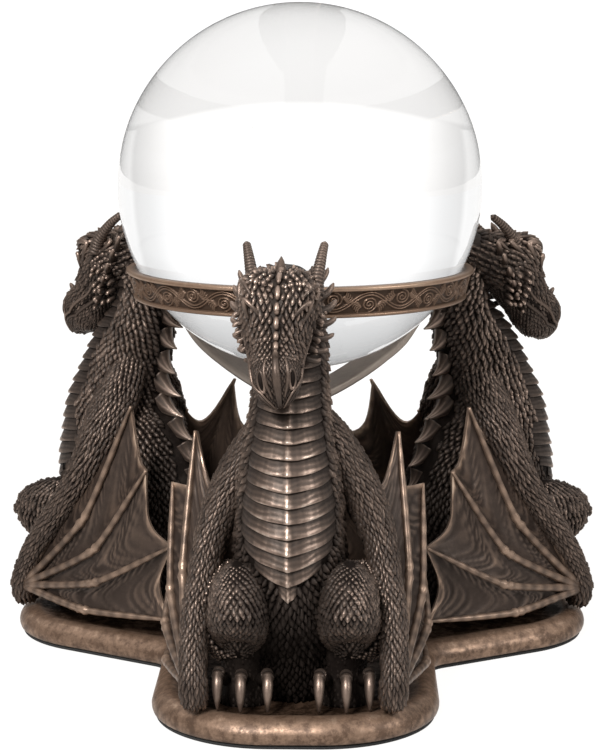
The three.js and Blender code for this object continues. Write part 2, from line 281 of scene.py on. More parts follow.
class Limb:
    """A tapering body part along a curve. u runs from 0 to 1 by length, theta round the section."""

    def __init__(self, stations, squareness=1.0, bend=None):
        rows = spline(stations, np.linspace(0, len(stations) - 1, LIMB_SAMPLES))
        self.centre, self.size = rows[:, :3], rows[:, 3:5]
        along = unit(np.gradient(self.centre, axis=0))
        across = unit(np.array([1.0, 0, 0]) - along * along[:, :1])
        self.across, self.deep = across, np.cross(along, across)
        steps = np.linalg.norm(np.diff(self.centre, axis=0), axis=1)
        self.length = steps.sum()
        self.share = np.concatenate([[0], np.cumsum(steps)]) / self.length
        self.squareness, self.bend = squareness, bend

    def table(self, values, u):
        return np.stack([np.interp(u, self.share, values[:, k]) for k in range(values.shape[1])], -1)

    def at(self, u, theta, out=0.0):
        u, theta = np.broadcast_arrays(np.asarray(u, float), np.asarray(theta, float))
        size = self.table(self.size, u) + np.asarray(out)[..., None]
        if self.bend is not None:
            size = size * self.bend(u, theta)[..., None]
        c, s = (np.sign(wave) * np.abs(wave) ** self.squareness for wave in (np.cos(theta), np.sin(theta)))
        return (self.table(self.centre, u) + self.table(self.across, u) * (size[..., :1] * c[..., None])
                + self.table(self.deep, u) * (size[..., 1:] * s[..., None]))

    def frame(self, u, theta):
        """Point, outward normal, direction of rising u and direction of rising theta on the skin."""
        along = self.at(np.minimum(u + STEP_U, 1), theta) - self.at(np.maximum(u - STEP_U, 0), theta)
        around = self.at(u, theta + STEP_THETA) - self.at(u, theta - STEP_THETA)
        normal = unit(np.cross(around, along))
        along = unit(along - normal * (along * normal).sum(-1, keepdims=True))
        return self.at(u, theta), normal, along, np.cross(along, normal) * -1

    def around(self, u):
        """Distance round the section at u."""
        theta = np.linspace(0, 2 * math.pi, 49)
        ring = self.at(np.full(49, float(u)), theta)
        return np.linalg.norm(np.diff(ring, axis=0), axis=1).sum()

    def sleeve(self, shape, u, sides, out, relief):
        """A closed skin whose offset and relief vary only along the limb."""
        U, T = around_and_along(u, sides)
        points = self.at(U, T, np.broadcast_to(out[:, None], U.shape))
        shape.grid(points, np.broadcast_to(relief[:, None], U.shape), closed=True, caps=True)

    def skin(self, shape, rows, columns, relief=0.0, out=0.0, noise=0.15, seed=1):
        u, theta = around_and_along(np.linspace(0, 1, rows), columns)
        points = self.at(u, theta, out)
        value = wave_noise(points, 6, seed)
        centre = self.table(self.centre, u)
        points = points + unit(points - centre) * (noise * value)[..., None]
        shape.grid(points, relief + 0.08 * value, closed=True, caps=True)


def lattice(limb, low, high, pitch_across, pitch_along, keep=None, meridian=-math.pi / 2):
    """Staggered (u, theta) places over a limb, rows evenly spaced along one meridian of its skin."""
    fine_u = np.linspace(low, high, 400)
    line = limb.at(fine_u, meridian)
    travelled = np.concatenate([[0], np.cumsum(np.linalg.norm(np.diff(line, axis=0), axis=1))])
    rows = max(2, int(round(travelled[-1] / pitch_along)))
    u_list, theta_list, shift = [], [], 0.0
    for i in range(rows + 1):
        u = float(np.interp(travelled[-1] * i / rows, travelled, fine_u))
        count = max(6, int(round(limb.around(u) / pitch_across)))
        fine = meridian + np.linspace(0, 2 * math.pi, 181)
        ring = limb.at(np.full(181, u), fine)
        length = np.concatenate([[0], np.cumsum(np.linalg.norm(np.diff(ring, axis=0), axis=1))])
        places = (np.arange(count) + shift) / count * length[-1]
        theta_list.append(np.interp(places, length, fine))
        u_list.append(np.full(count, u))
        shift = 0.5 - shift
    u, theta = np.concatenate(u_list), np.concatenate(theta_list)
    chosen = slice(None) if keep is None else keep(u, theta)
    return u[chosen], theta[chosen]


# Rows of one pointed scale: share of length, half width, edge height, ridge height, edge relief, ridge relief
SCALE_ROWS = [(0.0, 0.55, -0.15, 0.1, 0.02, 0.16), (0.55, 1.0, 0.15, 0.95, 0.12, 0.7)]


def scales(shape, places, length, width, height, seed, jitter=0.12, lift=0.75, tone=1.0):
    """Pointed, ridged, overlapping scales. places is (point, normal, heading) on a skin."""
    point, normal, heading = places
    count = len(point)
    source = np.random.default_rng(seed)
    length = length * (1 + jitter * source.uniform(-1, 1, count))
    width = width * (1 + jitter * source.uniform(-1, 1, count))
    height = height * (1 + 2 * jitter * source.uniform(-1, 1, count))
    turn = source.uniform(-1, 1, count) * jitter
    side = np.cross(normal, heading)
    heading, side = (heading * np.cos(turn)[:, None] + side * np.sin(turn)[:, None],
                     side * np.cos(turn)[:, None] - heading * np.sin(turn)[:, None])
    bright = source.uniform(-0.15, 0.15, count)

    def place(s, across, up):
        return (point + heading * ((s - 0.4) * length)[:, None] + side * (across * width / 2)[:, None]
                + normal * (up * height)[:, None])

    points, relief = [], []
    for s, half, edge, ridge, dark, light in SCALE_ROWS:
        for across, up, value in ((-half, edge, dark), (0.0, ridge, light), (half, edge, dark)):
            points.append(place(s, across, up))
            relief.append(np.clip(value + bright, 0, 1))
    points.append(place(1.0, 0.0, lift))
    relief.append(np.clip(1 + bright, 0, 1))
    for s, across in ((0.0, -0.55), (0.55, -1.0), (0.97, 0.0), (0.55, 1.0), (0.0, 0.55)):
        points.append(place(s, across, -0.45))
        relief.append(np.zeros(count))
    points = np.stack(points, 1)
    relief = np.stack(relief, 1) * np.broadcast_to(tone, (count,))[:, None]
    quads = np.array([(0, 1, 4, 3), (1, 2, 5, 4), (0, 3, 8, 7), (3, 6, 9, 8), (6, 5, 10, 9), (5, 2, 11, 10)])
    triangles = np.array([(3, 4, 6), (4, 5, 6)])
    offset = (np.arange(count) * points.shape[1])[:, None, None]
    shape.add(points, relief, quads + offset, triangles + offset)


def on_limb(limb, u, theta, sense, sink=0.0):
    """Scale places on a limb, heading towards falling u (sense -1) or rising u (+1)."""
    point, normal, along, _ = limb.frame(u, theta)
    return point - normal * sink, normal, along * sense


def tube(shape, path, radius, relief, sides, up=(0.1, 0.2, 1.0)):
    """A bead of round section along a path. The radius may vary; up sets where the section starts."""
    radius = np.broadcast_to(radius, (len(path),))[:, None, None]
    along = unit(np.gradient(path, axis=0))
    side = unit(np.cross(along, np.broadcast_to(up, path.shape)))
    top = np.cross(side, along)
    theta = (np.arange(sides) * 2 * math.pi / sides)[None, :, None]
    points = (path[:, None] + side[:, None] * (np.cos(theta) * radius)
              + top[:, None] * (np.sin(theta) * radius))
    relief = np.broadcast_to(np.asarray(relief, float).reshape(-1, 1), (len(path), sides))
    shape.grid(points, relief, closed=True, caps=True, flip=True)


def thorn(shape, root, tip, radius, relief, bow=(0, 0, 0), sides=8, blunt=0.16):
    """A pointed spike from root to tip, bowed sideways by bow at its middle."""
    t = np.linspace(0, 1, 9)
    path = np.outer(1 - t, root) + np.outer(t, tip) + np.outer(4 * t * (1 - t), bow)
    taper = (1 - t) ** 0.75 * (1 - blunt) + blunt
    taper[-1] *= 0.45
    tube(shape, path, radius * taper, np.interp(t, [0, 1], relief), sides)


# ---- materials ------------------------------------------------------------------------------

# Colours by how worn the metal is, from the bottom of a recess (0) to a rubbed ridge (1); on some pieces the
# value also carries painted shade and painted highlights.
BRONZE_STOPS = [
    (0.0, (0.0085, 0.0062, 0.0052)),
    (0.25, (0.027, 0.0190, 0.0152)),
    (0.50, (0.070, 0.049, 0.038)),
    (0.78, (0.270, 0.196, 0.156)),
    (1.0, (0.660, 0.550, 0.460)),
]
WING_STOPS = [
    (0.0, (0.0090, 0.0062, 0.0050)),
    (0.25, (0.028, 0.0185, 0.0142)),
    (0.50, (0.078, 0.052, 0.038)),
    (0.78, (0.300, 0.205, 0.148)),
    (1.0, (0.680, 0.530, 0.400)),
]
LIGHT_STOPS = [
    (0.0, (0.014, 0.008, 0.005)),
    (0.35, (0.080, 0.047, 0.030)),
    (0.65, (0.240, 0.155, 0.106)),
    (1.0, (0.560, 0.420, 0.310)),
]
STRAP_STOPS = [
    (0.0, (0.020, 0.016, 0.014)),
    (0.5, (0.120, 0.096, 0.080)),
    (1.0, (0.400, 0.340, 0.290)),
]

class Nodes:
    """A short way to write the nodes of a material or of the world."""

    def __init__(self, owner, shader="Principled BSDF"):
        self.owner = owner
        owner.use_nodes = True
        self.tree = owner.node_tree
        self.shader = self.tree.nodes[shader]

    def feed(self, target, value):
        """Link a socket to the target, or give the target a plain value."""
        if isinstance(value, bpy.types.NodeSocket):
            self.tree.links.new(value, target)
        else:
            target.default_value = value

    def set(self, socket, value):
        self.feed(self.shader.inputs[socket], value)

    def node(self, kind, *values, **settings):
        """A new node: values fill its inputs in order, settings fill its inputs or properties by name."""
        made = self.tree.nodes.new(kind)
        for target, value in zip(made.inputs, values):
            self.feed(target, value)
        for key, value in settings.items():
            if key in made.inputs:
                self.feed(made.inputs[key], value)
            else:
                setattr(made, key, value)
        return made

    def math(self, operation, *values):
        return self.node("ShaderNodeMath", *values, operation=operation).outputs[0]

    def noise(self, scale, detail, roughness=0.6):
        place = self.node("ShaderNodeTexCoord").outputs["Object"]
        made = self.node("ShaderNodeTexNoise", place, Scale=scale, Detail=detail, Roughness=roughness)
        return made.outputs["Fac"]

    def ramp(self, factor, stops):
        made = self.node("ShaderNodeValToRGB", factor)
        elements = made.color_ramp.elements
        while len(elements) < len(stops):
            elements.new(0.5)
        for element, (position, colour) in zip(elements, stops):
            element.position = position
            element.color = (*colour, 1.0)
        return made.outputs["Color"]

    def grey_ramp(self, factor, stops):
        return self.ramp(factor, [(position, (grey, grey, grey)) for position, grey in stops])

    def spread(self, factor, low, high, to_low, to_high):
        return self.node("ShaderNodeMapRange", factor, low, high, to_low, to_high).outputs["Result"]

    def bump(self, height, strength, distance):
        made = self.node("ShaderNodeBump", Strength=strength, Distance=distance, Height=height)
        self.set("Normal", made.outputs["Normal"])


def material_nodes(name):
    return Nodes(bpy.data.materials.new(name))


def bronze(name, stops, grain=900, rough=(0.28, 0.6), metallic=0.7, shift=0.0, speckle=0.16, spot_scale=0):
    """Cast bronze: dark in the recesses, rubbed warm on the ridges, by the mesh's relief value, which on some
    pieces also holds painted shade and painted highlights.
    """
    nodes = material_nodes(name)
    relief = nodes.node("ShaderNodeAttribute", attribute_name="relief").outputs["Fac"]
    cloudy = nodes.noise(55, 3)
    fine = nodes.noise(grain, 5, 0.7)
    worn = nodes.math("ADD", nodes.math("MULTIPLY", relief, 0.85), nodes.math("MULTIPLY", cloudy, 0.30))
    worn = nodes.math("ADD", worn, nodes.math("MULTIPLY", fine, speckle))
    worn = nodes.math("ADD", worn, shift - 0.15 - speckle / 2)
    if spot_scale:
        spots = nodes.spread(nodes.noise(spot_scale, 6, 0.75), 0.42, 0.60, -0.16, 0.10)
        worn = nodes.math("ADD", worn, spots)
    nodes.set("Base Color", nodes.ramp(worn, stops))
    nodes.set("Metallic", nodes.spread(worn, 0.05, 0.6, 0.1, metallic))
    nodes.set("Specular IOR Level", nodes.spread(worn, 0.0, 0.45, 0.03, 0.5))
    nodes.set("Specular Tint", (1.0, 0.92, 0.85, 1.0))
    polish = nodes.math("ADD", worn, nodes.math("MULTIPLY", fine, 0.3))
    nodes.set("Roughness", nodes.spread(polish, 0.1, 1.1, rough[1], rough[0]))
    nodes.bump(fine, 0.3, 0.0003)
    return nodes.owner


scale_bronze = bronze("scale_bronze", BRONZE_STOPS)
wing_bronze = bronze("wing_bronze", WING_STOPS, 700, metallic=0.55, shift=0.06)
ring_bronze = bronze("ring_bronze", LIGHT_STOPS, 800, (0.26, 0.5), 0.75, -0.035)
strap_bronze = bronze("strap_bronze", STRAP_STOPS, 500, (0.28, 0.42), shift=0.09, speckle=0.1)
base_bronze = bronze("base_bronze", LIGHT_STOPS, 420, (0.27, 0.55), 0.65, -0.03, speckle=0.42, spot_scale=300)


def glass_material():
    nodes = material_nodes("clear_glass")
    tint = nodes.ramp(nodes.noise(14, 2), [(0.35, (0.985, 0.99, 0.995)), (0.7, (1.0, 1.0, 1.0))])
    nodes.set("Base Color", tint)
    nodes.set("Transmission Weight", 1.0)
    nodes.set("IOR", 1.5)
    nodes.set("Roughness", nodes.spread(nodes.noise(35, 3), 0.3, 0.8, 0.0, 0.012))
    nodes.bump(nodes.noise(9, 2), 0.02, 0.0002)
    return nodes.owner


def felt_material():
    nodes = material_nodes("felt")
    nap = nodes.noise(1500, 6, 0.75)
    nodes.set("Base Color", nodes.ramp(nap, [(0.3, (0.006, 0.006, 0.006)), (0.7, (0.020, 0.019, 0.018))]))
    nodes.set("Roughness", nodes.spread(nap, 0, 1, 0.85, 1.0))
    nodes.bump(nap, 0.7, 0.0006)
    return nodes.owner


# ---- body -----------------------------------------------------------------------------------

FRONT = -math.pi / 2   # theta of the belly on the trunk
BELLY_U = np.linspace(0.1, 1, 300)
BELLY_Z = [39.5, 43, 47, 51, 56, 62, 68, 76, 86, 98, 112]
BELLY_HALF_WIDTH = [0.8, 5.5, 10.6, 12.6, 13.2, 12.9, 12.0, 10.5, 8.9, 8.2, 7.6]
BELLY_FROM, BELLY_TO = 40.0, 111
# Down one belly plate, from 0 under the plate above to 1 at its lip: how far it stands out, how bright it is
PLATE_S = [0.0, 0.25, 0.5, 0.7, 0.84, 0.93, 0.98]
PLATE_LIFT = [-0.5, 0.05, 0.42, 0.66, 0.86, 0.94, 0.86]
PLATE_RELIEF = [0.0, 0.26, 0.46, 0.56, 0.66, 0.90, 1.0]
# y and z of each back thorn's tip, and its size
BACK_THORNS = [(-44, 98, 0.95), (-46.3, 91, 0.95), (-47.3, 82.9, 1.0), (-45.3, 75.6, 1.0), (-44.3, 69, 0.95),
               (-40.8, 61.9, 0.95), (-38.4, 54.5, 0.9), (-38.2, 47.4, 0.8), (-38.6, 41, 0.7)]

trunk = Limb(TRUNK)


def belly_half(z):
    """Half width of the belly plates at height z."""
    return np.interp(z, BELLY_Z, BELLY_HALF_WIDTH)


def belly_angle(z):
    """Angle from the belly line to the plates' outer ends at height z."""
    half = np.interp(z, trunk.centre[:, 2], trunk.size[:, 0])
    return np.arcsin(np.clip(belly_half(z) / half, 0, 0.95))


def u_at_height(theta, z):
    """u of the trunk's skin at angle theta where it crosses height z."""
    return np.interp(z, trunk.at(BELLY_U, theta)[:, 2], BELLY_U)


def belly_plate(shape, z_low, length, seed):
    """One V-shaped plate across the belly, its lower lip lifted over the next."""
    c = np.linspace(-1, 1, 57)
    face = np.linspace(0.0, 0.96, 17)
    s = np.append(face, [0.98, 1.0, 0.99, 0.93])
    lift = np.append(np.interp(face, PLATE_S, PLATE_LIFT), [0.86, 0.6, 0.2, -0.5])
    value = np.append(np.interp(face, PLATE_S, PLATE_RELIEF), [1.0, 0.5, 0.0, 0.0])
    below = np.minimum(s * 2, 1)[:, None]
    outer = np.abs(c) ** 4
    half = belly_half(z_low + 1.5)
    steep = np.interp(z_low, [40, 50, 60, 80, 105], [0.60, 0.30, 0.21, 0.15, 0.08])
    rise = steep * half * np.abs(c) ** 1.15
    reach = belly_angle(z_low + 0.4 * steep * half)
    wave = np.sin(c * 9 + seed) * 0.08
    drift = np.sin(c * 5 + seed) + 0.6 * np.sin(c * 13 + 2 * seed)
    streaks = np.cos(2 * math.pi * 3.6 * s[:, None] + 1.1 * drift[None])
    nicks = np.sin(c * 61 + seed) * 0.5 + np.sin(c * 37 + 3 * seed) * 0.5
    grooves = 0.75 * streaks * (0.45 + 0.55 * np.abs(c))[None] + 0.30 * nicks[None]
    keel = bell(c * half, 0, 0.62)
    relief = value[:, None] + 0.26 * grooves * below
    relief = relief + 0.35 * keel[None] * below
    # Painted highlight: a lighter band either side of the middle and along the keel; painted shade on the top
    # plates under the chin. The plates also darken towards their ends.
    painted_sheen = 0.70 + 0.46 * bell(np.abs(c), 0.42, 0.26) + 0.36 * keel
    painted_sheen = np.interp(z_low, [78, 100], [1.0, 0.66]) * painted_sheen
    relief = relief * (painted_sheen * (1 - 0.45 * outer))[None]
    out = lift[:, None] * (1 - 0.75 * outer)[None] - 0.15 * (np.abs(c) ** 6)[None]
    out = out + 0.09 * grooves * (s * (s < 0.95))[:, None]
    out = out + keel[None] * np.interp(s, [0, 0.5, 0.95, 1.0], [0.25, 0.4, 0.75, 0.4])[:, None]
    points = np.zeros((len(s), len(c), 3))
    for j, across in enumerate(c):
        theta = FRONT + across * reach
        z = z_low + (1 - s) * length * (1 - 0.2 * abs(across) ** 3) + rise[j] + wave[j]
        u = u_at_height(theta, z)
        point, normal, _, _ = trunk.frame(u, np.full(len(u), theta))
        points[:, j] = point + normal * out[:, j, None]
    shape.grid(points, np.clip(relief, 0, 1), flip=True)


def back_thorn(shape, tip_y, tip_z, size):
    """A broad hooked thorn on the back: a long hollow sweep above and a short undercut below."""
    u = float(u_at_height(math.pi / 2, tip_z + 3.4))
    base = trunk.at(np.array([u]), np.array([math.pi / 2]))[0]
    root = np.array([base[0], base[1] - 2.2, tip_z + 5.0])
    tip = np.array([base[0], tip_y, tip_z])
    rows, columns = 22, 24
    t = np.linspace(0, 1, rows)
    middle = np.outer(1 - t, root) + np.outer(t, tip) + np.outer(4 * t * (1 - t), [0, -0.3, -0.75])
    along = unit(np.gradient(middle, axis=0))
    side = np.array([1.0, 0, 0])
    over = np.cross(side, along)
    over = over * np.sign(over[:, 2:3])
    theta = np.arange(columns) * 2 * math.pi / columns
    width = (3.3 * (1 - t) ** 0.85 + 0.25) * size
    tall = (4.4 * (1 - t) ** 1.2 + 0.25) * size
    ridges = 1 + 0.05 * np.sin(theta * 9)[None] * (1 - t)[:, None]
    points = (middle[:, None] + side * (np.cos(theta)[None] * width[:, None] * ridges)[..., None]
              + over[:, None] * (np.sin(theta)[None] * tall[:, None] * ridges)[..., None])
    relief = 0.42 + 0.6 * t[:, None] + 0.2 * np.sin(theta * 9)[None]
    shape.grid(points, np.clip(relief, 0, 1), closed=True, caps=True, flip=True)


def body():
    shape = Shape()
    trunk.skin(shape, 120, 72, out=-0.35, noise=0.12)

    def beside_belly(u, theta):
        z = trunk.at(u, theta)[..., 2]
        away = np.abs(away_from(FRONT, theta))
        clear_of_belly = away > belly_angle(z - 2.5) * (z > 38) - 0.02
        return clear_of_belly & (away < math.pi - 0.40) & (z > 9.0) & (z < 120)

    u, theta = lattice(trunk, 0.06, 0.99, 2.0, 1.5, beside_belly, meridian=0.0)
    point, normal, along, around = trunk.frame(u, theta)
    # Scales lean from the back towards the throat on the neck and hang straight down on the body.
    z = point[:, 2]
    aside = away_from(FRONT, theta)
    lean = np.interp(z, [30, 70, 95, 118], [0.0, 0.30, 0.85, 0.7]) * np.sign(aside)
    heading = unit(-along - around * lean[:, None])
    grown = np.interp(z, [60, 95], [0.94, 1.02])
    # Painted shade: the scales are toned darker low on the body, fading to black near the feet, and darker
    # towards the back along the spine.
    tone = np.interp(z, [30, 44, 60], [0.0, 0.45, 1.0]) * np.interp(np.abs(aside), [2.2, 2.8], [1.0, 0.5])
    skin = (point, normal, heading)
    scales(shape, skin, 3.0 * grown, 2.1 * grown, 1.15, seed=5, jitter=0.26, lift=1.0, tone=tone)
    z, count = BELLY_FROM, 0
    while z < BELLY_TO:
        step = np.interp(z, [40, 75, 110], [4.25, 4.05, 3.2])
        belly_plate(shape, z, step * 1.3, count * 1.7)
        z += step
        count += 1
    for tip_y, tip_z, size in BACK_THORNS:
        back_thorn(shape, tip_y, tip_z, size)
    return shape


# ---- head -----------------------------------------------------------------------------------


def skull_bend(u, theta):
    """Lifts the brows, hollows the face below them and rounds the nose."""
    up = np.sin(theta)
    side = np.abs(np.cos(theta))
    brow = bell(u, 0.36, 0.10) * bell(side, 0.5, 0.3) * np.clip(up * 3, 0, 1)
    hollow = bell(u, 0.56, 0.11) * np.clip(up, 0, 1)
    nose = bell(u, 0.84, 0.08) * np.clip(up, 0, 1)
    jaw = bell(u, 0.45, 0.2) * np.clip(-up, 0, 1)
    return 1 + 0.34 * brow - 0.15 * hollow + 0.20 * nose - 0.10 * jaw


UP = math.pi / 2   # theta of the forehead and nose on the skull
# Each pass of face scales: start and end along the skull, reach round it, pitch, size and seed
FACE_PASSES = [
    (0.08, 0.36, 1.35, 2.0, 1.05, 9),
    (0.36, 0.62, 1.5, 1.75, 0.9, 13),
    (0.62, 0.76, 1.6, 1.4, 0.66, 14),
]
# Folds of the brow: place along the skull, angle from the top, reach round the skull, thickness
BROW_FOLDS = [
    (0.17, 0.98, 0.30, 0.62),
    (0.25, 0.88, 0.34, 0.72),
    (0.335, 0.80, 0.34, 0.72),
    (0.42, 0.72, 0.26, 0.55),
]
# Root, tip and radius of each cheek spike, from the top one down
CHEEK_SPIKES = [
    ((8.6, -64.5, 122.4), (13.8, -60.6, 127.6), 1.15),
    ((9.4, -66.0, 119.2), (15.4, -61.8, 123.4), 1.2),
    ((9.8, -67.3, 116.0), (16.2, -63.4, 118.8), 1.2),
    ((9.4, -69.0, 112.8), (16.2, -65.4, 114.2), 1.15),
    ((8.8, -70.5, 109.6), (15.6, -67.4, 109.8), 1.05),
    ((8.0, -72.2, 106.6), (14.0, -69.8, 106.0), 1.0),
    ((7.2, -73.8, 104.4), (11.8, -72.2, 103.4), 0.9),
]
skull = Limb(SKULL, squareness=0.88, bend=skull_bend)


def from_top(theta):
    """Unsigned angle from the middle line of the forehead."""
    return np.abs(away_from(UP, theta))


def surface_line(us, thetas, out):
    point, normal, _, _ = skull.frame(np.asarray(us, float), np.asarray(thetas, float))
    return point + normal * np.asarray(out, float).reshape(-1, 1)


def ridge(shape, us, thetas, out, radius, relief, sides=7):
    """A raised bead that follows the skull."""
    tube(shape, surface_line(us, thetas, out), radius, relief, sides)


def face_scales(shape):
    """Pointed scales that flow down the face and close in on the snout, and finer bumps round them."""
    for low_u, high_u, reach, pitch, size, seed in FACE_PASSES:
        u, theta = lattice(skull, low_u, high_u, pitch, pitch * 0.9,
                           lambda u, t: (from_top(t) < reach) & (from_top(t) > 0.12), meridian=UP)
        point, normal, along, around = skull.frame(u, theta)
        aside = away_from(UP, theta)
        heading = unit(along - around * (0.28 * np.sign(aside) * np.abs(aside) ** 0.5)[:, None])
        tone = 0.98 + 0.30 * bell(u, 0.42, 0.08) * bell(np.abs(aside), 0.6, 0.35)
        scales(shape, (point, normal, heading), 3.2 * size, 2.0 * size, 1.05 * size, seed, 0.24, 1.15, tone)
    u, theta = lattice(skull, 0.03, 0.42, 1.9, 1.55,
                       lambda u, t: (from_top(t) > 1.3) & (from_top(t) < 2.7), meridian=UP)
    scales(shape, on_limb(skull, u, theta, -1), 2.7, 2.0, 0.8, seed=16, jitter=0.25, tone=0.85)
    # Finer bumps on the cheeks, the jaw and the snout.
    u, theta = lattice(skull, 0.34, 0.92, 1.35, 1.1, lambda u, t: from_top(t) > 1.5)
    scales(shape, on_limb(skull, u, theta, 1), 1.7, 1.15, 0.38, seed=10, jitter=0.25, tone=0.88)
    u, theta = lattice(skull, 0.76, 0.995, 1.05, 0.9, lambda u, t: from_top(t) < 2.6, meridian=UP)
    scales(shape, on_limb(skull, u, theta, 1), 1.5, 1.0, 0.26, seed=12, jitter=0.3, tone=0.8)


def middle_of_face(shape):
    """Beads down the middle of the face, then one long ridge between the nostrils."""
    t = np.linspace(-1, 1, 11)
    for u in np.linspace(0.17, 0.70, 8):
        line = surface_line(u + t * 0.034, np.full(11, UP), 0.35 + 0.45 * (1 - t**2))
        tube(shape, line, 0.2 + 0.62 * dome(t), 0.62 + 0.3 * (1 - t**2), 8)
    t = np.linspace(0, 1, 24)
    hump = np.sin(math.pi * t)
    thick = 0.3 + 0.85 * np.sin(math.pi * (0.1 + 0.8 * t))
    ridge(shape, 0.75 + 0.235 * t, np.full(24, UP), 0.15 + 0.25 * hump, thick, 0.36 + 0.26 * hump, 10)


def nostril(shape, side):
    """A raised oval rim round a dark hollow, under a small upturned fold."""
    turn = np.linspace(0, 2 * math.pi, 25)
    theta = UP - side * (0.62 + 0.15 * np.sin(turn) + 0.05 * np.cos(turn))
    thick = 0.30 + 0.14 * np.cos(turn) ** 2
    ridge(shape, 0.872 + 0.048 * np.cos(turn), theta, 0.28, thick, 0.66 + 0.2 * np.cos(turn))
    q = np.linspace(-1, 1, 11)
    thick = 0.15 + 0.62 * np.sqrt(1 - 0.97 * q**2)
    ridge(shape, 0.872 + 0.040 * q, UP - side * (0.62 + 0.04 * q), 0.0, thick, 0.0)
    t = np.linspace(0, 1, 16)
    hump = np.sin(math.pi * t)
    ridge(shape, 0.76 + 0.20 * t, UP - side * (0.30 + 0.10 * hump), 0.12, 0.15 + 0.42 * hump, 0.62)


def upper_lip(shape, side):
    """It drops from the nose and turns back along the jaw, with a dark slit below it."""
    t = np.linspace(0, 1, 40)
    sweep = 0.16 * np.sin(t * 6.0) * (1 - t) + 0.42 * (1 - t) ** 2 - 0.95 * np.clip(t - 0.72, 0, 1) / 0.28
    thick = 0.20 + 0.40 * np.sin(math.pi * np.clip(t * 0.9 + 0.08, 0, 1))
    for drop, lift, value in ((0.0, 0.45, 0.66), (0.20, -0.12, 0.0), (0.42, 0.22, 0.46)):
        theta = UP - side * (1.30 + drop * (1 - 0.4 * t) + sweep)
        ridge(shape, 0.50 + 0.49 * t, theta, lift, thick, value)


def brow_and_eye(shape, side):
    """Stacked peaked folds that step down from the horn past the eye."""
    q = np.linspace(-1, 1, 23)
    for along, aside, reach, thick in BROW_FOLDS:
        theta = UP - side * (aside + reach * q * (1 - 0.2 * q * q))
        bead = 0.18 + thick * (1 - 0.75 * q * q)
        fall = 0.085 * np.abs(q) ** 1.4
        ridge(shape, along + fall, theta, 0.6 + 0.5 * (1 - q * q), bead, 0.42 + 0.44 * (1 - np.abs(q)))
    eye = surface_line([0.43], [UP - side * 0.98], [0.1])[0]
    q = np.linspace(-1, 1, 9)
    tube(shape, eye + np.outer(q, [0.25 * side, -0.8, -1.2]), 0.1 + 0.9 * dome(q), 0.5, 10)


def ringed_horn(shape, side):
    """A ringed horn with a collar of low crest spikes."""
    horn = Limb([(SKULL_MIDDLE_X - 0.4 * (side < 0) + side * x, y, z, w, d) for x, y, z, w, d in HORN])
    u = np.linspace(0, 1, 170)
    rings = np.sin(math.pi * ((u * horn.length) % 1.05 / 1.05))
    ripple = 0.24 * rings * (u < 0.97)
    close = 0.7 * np.sqrt(np.clip(1 - (1 - u) / 0.06, 0, 1))
    horn.sleeve(shape, u, 20, ripple - 0.1 - close, 0.20 + 0.44 * rings + 0.10 * u)
    for k in range(5):
        root = np.array([SKULL_MIDDLE_X + side * (5.2 + 0.55 * k), -73.5 + 2.6 * k, 122.0 + 0.9 * k])
        thorn(shape, root, root + [-side * 0.3, 0.6, 3.6 - 0.35 * k], 1.1, relief=(0.2, 0.6))


def cheek(shape, side):
    """A long upswept row of spikes, shorter below, and stubby knobs in three uneven columns before it."""
    for (x, y, z), (tip_x, tip_y, tip_z), radius in CHEEK_SPIKES:
        root = np.array([SKULL_MIDDLE_X - 1.1 + side * (x - 1.0), y - 0.6, z - 0.4])
        tip = np.array([SKULL_MIDDLE_X - 1.1 + side * (tip_x - 0.6), tip_y, tip_z])
        thorn(shape, root, root + (tip - root) * (0.9 if side > 0 else 0.78), radius * 1.1,
              relief=(0.15, 0.9), bow=(side * 0.7, 0, -0.7), sides=9, blunt=0.42)
    for column, y in enumerate((-72.6, -69.6, -66.8)):
        for k in range(5):
            z = 116.4 - 2.35 * k - 0.9 * (column % 2)
            out = np.interp(z, [104, 110, 116], [8.6, 10.2, 11.2])
            stray = rng.uniform(-0.5, 0.5, 3)
            root = np.array([-4.2 + side * (out - 1.6), y + stray[0], z + stray[1]])
            tip = root + [side * (3.0 + stray[2]), -0.6, -1.3]
            thorn(shape, root, tip, 1.0, relief=(0.0, 0.95), bow=(0, 0, 0.3), sides=9, blunt=0.5)


def head():
    shape = Shape()
    skull.skin(shape, 110, 84, relief=0.20, out=-0.05, noise=0.22, seed=8)
    face_scales(shape)
    middle_of_face(shape)
    for side in (-1, 1):
        nostril(shape, side)
        upper_lip(shape, side)
        brow_and_eye(shape, side)
        ringed_horn(shape, side)
        cheek(shape, side)
    # The crest spike between the horns and the small nose horn.
    root, tip = (-4.0, -71.5, 120.5), (-3.7, -67.0, 130.8)
    thorn(shape, root, tip, 3.0, relief=(0.35, 0.7), bow=(0, -0.5, 0), sides=12, blunt=0.12)
    nose = surface_line([0.77], [UP], [-0.2])[0]
    thorn(shape, nose, nose + [0, -1.9, 2.5], 1.2, relief=(0.4, 0.8), blunt=0.3)
    return shape


# ---- legs and feet --------------------------------------------------------------------------


